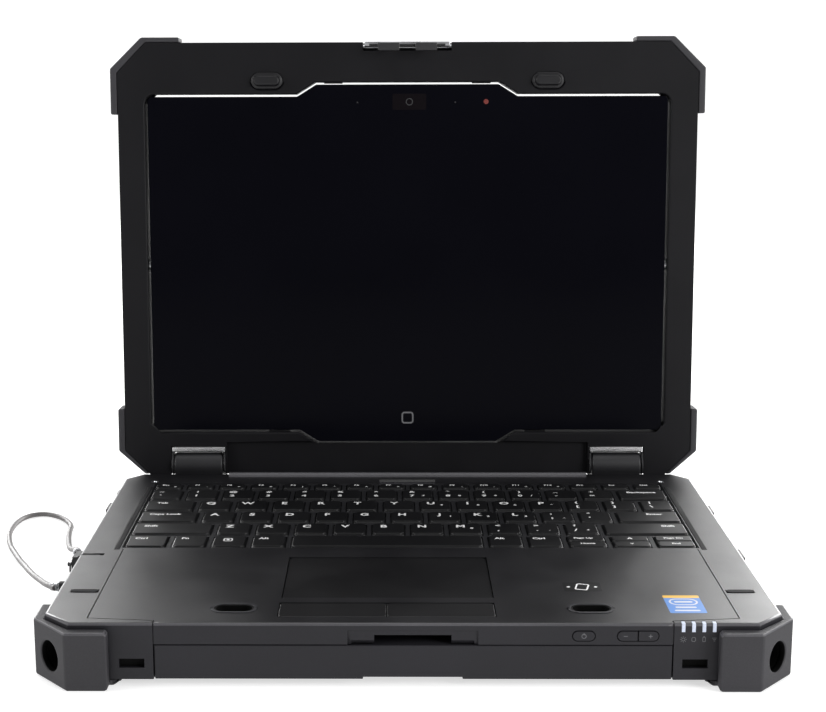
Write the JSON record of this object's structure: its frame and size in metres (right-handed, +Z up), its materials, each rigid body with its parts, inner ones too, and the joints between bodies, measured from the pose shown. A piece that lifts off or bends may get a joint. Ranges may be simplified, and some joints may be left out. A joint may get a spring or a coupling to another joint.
{
  "type": "rugged convertible laptop computer",
  "caption": "Rugged convertible laptop with a chamfered shell, corner bumpers, a latching lid and a screen that flips about its middle inside the lid frame.",
  "frame": {"origin": "centre of the open laptop's footprint, on the table", "axes": "+X to the user's right along the keyboard rows, +Y away from the user towards the hinge, +Z up"},
  "size_m": [0.3668, 0.2482, 0.2578],
  "materials": {
    "shell_plastic": "fine-textured matt charcoal",
    "bumper_rubber": "matt moulded rubber",
    "soft_rubber": "soft matt black",
    "door_plastic": "matt black",
    "plate_plastic": "matt dark grey",
    "pad_plastic": "smooth satin black",
    "key_plastic": "satin black with light legends",
    "steel": "satin bright",
    "circuit_board": "green board",
    "copper": "satin copper",
    "drive_metal": "satin",
    "light_pipe": "clear, lit cold white",
    "stylus_plastic": "smooth black",
    "cord_rubber": "smooth grey cord",
    "screen_glass": "black printed gloss glass",
    "display": "switched-off display"
  },
  "bodies": {
    "base": {"bottom_shell": "shell_plastic", "top_cover": "shell_plastic", "keyboard_plate": "plate_plastic", "front_bumper_left": "bumper_rubber", "front_bumper_right": "bumper_rubber", "rear_bumpers": "bumper_rubber", "touchpad": "pad_plastic", "battery_pack": "shell_plastic", "mainboard": "circuit_board", "fan_housing": "plate_plastic", "heatsink": "copper", "storage_drive": "drive_metal", "speakers": "plate_plastic", "port_sockets": "steel", "light_pipes": "light_pipe", "deck_rubbers": "soft_rubber", "peg_sockets": "soft_rubber", "deck_screws": "steel", "bottom_screws": "steel", "hinge_knuckles": "door_plastic", "key_frame": "plate_plastic", "tether_clip": "stylus_plastic", "tether_cord": "cord_rubber"},
    "fan": {"fan_rotor": "plate_plastic"},
    "power_button": {"power_button": "shell_plastic"},
    "volume_down": {"volume_down": "shell_plastic"},
    "volume_up": {"volume_up": "shell_plastic"},
    "touch_left": {"touch_button_left": "pad_plastic"},
    "touch_right": {"touch_button_right": "pad_plastic"},
    "function_row": {"function_keys": "key_plastic"},
    "number_row": {"number_keys": "key_plastic"},
    "backspace": {"backspace_key": "key_plastic"},
    "upper_row": {"upper_keys": "key_plastic"},
    "home_row": {"home_keys": "key_plastic"},
    "enter": {"enter_key": "key_plastic"},
    "lower_row": {"lower_keys": "key_plastic"},
    "bottom_row": {"bottom_keys": "key_plastic"},
    "space": {"space_key": "key_plastic"},
    "arrows": {"arrow_keys": "key_plastic"},
    "left_door": {"port_door_left": "door_plastic"},
    "right_door": {"port_door_right": "door_plastic"},
    "drive_door": {"drive_door": "door_plastic"},
    "battery_latch": {"battery_latch": "door_plastic"},
    "stylus": {"stylus": "stylus_plastic"},
    "lid": {"lid_front_frame": "shell_plastic", "lid_rear_frame": "shell_plastic", "upper_lid_bumpers": "bumper_rubber", "lower_lid_bumpers": "bumper_rubber", "lid_pegs": "soft_rubber", "hinge_brackets": "steel", "hinge_pins": "steel", "screen_pivots": "steel", "latch_pin": "steel"},
    "latch": {"latch_plate": "steel", "latch_hooks": "door_plastic"},
    "screen": {"screen_glass": "screen_glass", "lcd_panel": "display", "screen_cover": "shell_plastic", "webcam": "drive_metal"}
  },
  "joints": [
    {"name": "lid_hinge", "type": "hinge", "parent": "base", "child": "lid", "pos_m": [0, 0.10194, 0.0315], "axis": [1, 0, 0], "range_deg": [-36.7, 93.3]},
    {"name": "screen_flip", "type": "hinge", "parent": "lid", "child": "screen", "pos_m": [0, 0.11072, 0.13867], "axis": [1, 0, 0], "range_deg": [0, 180]},
    {"name": "latch_lift", "type": "hinge", "parent": "lid", "child": "latch", "pos_m": [0, 0.11829, 0.25252], "axis": [-1, 0, 0], "range_deg": [0, 50], "stiffness_Nm_per_rad": 0.02, "springref_deg": -11.46},
    {"name": "fan_spin", "type": "hinge", "parent": "base", "child": "fan", "pos_m": [0.098, 0.04394, 0.008], "axis": [0, 0, 1], "continuous": true},
    {"name": "power_press", "type": "slide", "parent": "base", "child": "power_button", "axis": [0, 1, 0], "range_m": [0, 0.0006], "stiffness_N_per_m": 500, "springref_m": -0.0005},
    {"name": "volume_down_press", "type": "slide", "parent": "base", "child": "volume_down", "axis": [0, 1, 0], "range_m": [0, 0.0006], "stiffness_N_per_m": 500, "springref_m": -0.0005},
    {"name": "volume_up_press", "type": "slide", "parent": "base", "child": "volume_up", "axis": [0, 1, 0], "range_m": [0, 0.0006], "stiffness_N_per_m": 500, "springref_m": -0.0005},
    {"name": "touch_left_press", "type": "slide", "parent": "base", "child": "touch_left", "axis": [0, 0, -1], "range_m": [0, 0.0006], "stiffness_N_per_m": 500, "springref_m": -0.0005},
    {"name": "touch_right_press", "type": "slide", "parent": "base", "child": "touch_right", "axis": [0, 0, -1], "range_m": [0, 0.0006], "stiffness_N_per_m": 500, "springref_m": -0.0005},
    {"name": "function_row_press", "type": "slide", "parent": "base", "child": "function_row", "axis": [0, 0, -1], "range_m": [0, 0.0015], "stiffness_N_per_m": 300, "springref_m": -0.001},
    {"name": "number_row_press", "type": "slide", "parent": "base", "child": "number_row", "axis": [0, 0, -1], "range_m": [0, 0.0015], "stiffness_N_per_m": 300, "springref_m": -0.001},
    {"name": "backspace_press", "type": "slide", "parent": "base", "child": "backspace", "axis": [0, 0, -1], "range_m": [0, 0.0015], "stiffness_N_per_m": 300, "springref_m": -0.001},
    {"name": "upper_row_press", "type": "slide", "parent": "base", "child": "upper_row", "axis": [0, 0, -1], "range_m": [0, 0.0015], "stiffness_N_per_m": 300, "springref_m": -0.001},
    {"name": "home_row_press", "type": "slide", "parent": "base", "child": "home_row", "axis": [0, 0, -1], "range_m": [0, 0.0015], "stiffness_N_per_m": 300, "springref_m": -0.001},
    {"name": "enter_press", "type": "slide", "parent": "base", "child": "enter", "axis": [0, 0, -1], "range_m": [0, 0.0015], "stiffness_N_per_m": 300, "springref_m": -0.001},
    {"name": "lower_row_press", "type": "slide", "parent": "base", "child": "lower_row", "axis": [0, 0, -1], "range_m": [0, 0.0015], "stiffness_N_per_m": 300, "springref_m": -0.001},
    {"name": "bottom_row_press", "type": "slide", "parent": "base", "child": "bottom_row", "axis": [0, 0, -1], "range_m": [0, 0.0015], "stiffness_N_per_m": 300, "springref_m": -0.001},
    {"name": "space_press", "type": "slide", "parent": "base", "child": "space", "axis": [0, 0, -1], "range_m": [0, 0.0015], "stiffness_N_per_m": 300, "springref_m": -0.001},
    {"name": "arrows_press", "type": "slide", "parent": "base", "child": "arrows", "axis": [0, 0, -1], "range_m": [0, 0.0015], "stiffness_N_per_m": 300, "springref_m": -0.001},
    {"name": "left_door_swing", "type": "hinge", "parent": "base", "child": "left_door", "pos_m": [-0.1491, 0.05294, 0.0083], "axis": [0, -1, 0], "range_deg": [0, 85]},
    {"name": "right_door_swing", "type": "hinge", "parent": "base", "child": "right_door", "pos_m": [0.1491, 0.05194, 0.0083], "axis": [0, 1, 0], "range_deg": [0, 85]},
    {"name": "drive_door_swing", "type": "hinge", "parent": "base", "child": "drive_door", "pos_m": [0.1491, -0.04156, 0.0083], "axis": [0, 1, 0], "range_deg": [0, 85]},
    {"name": "battery_latch_slide", "type": "slide", "parent": "base", "child": "battery_latch", "axis": [0, 1, 0], "range_m": [0, 0.004]},
    {"name": "stylus_slide", "type": "slide", "parent": "base", "child": "stylus", "axis": [-1, 0, 0], "range_m": [0, 0.09], "deforming": ["tether_cord"]}
  ]
}
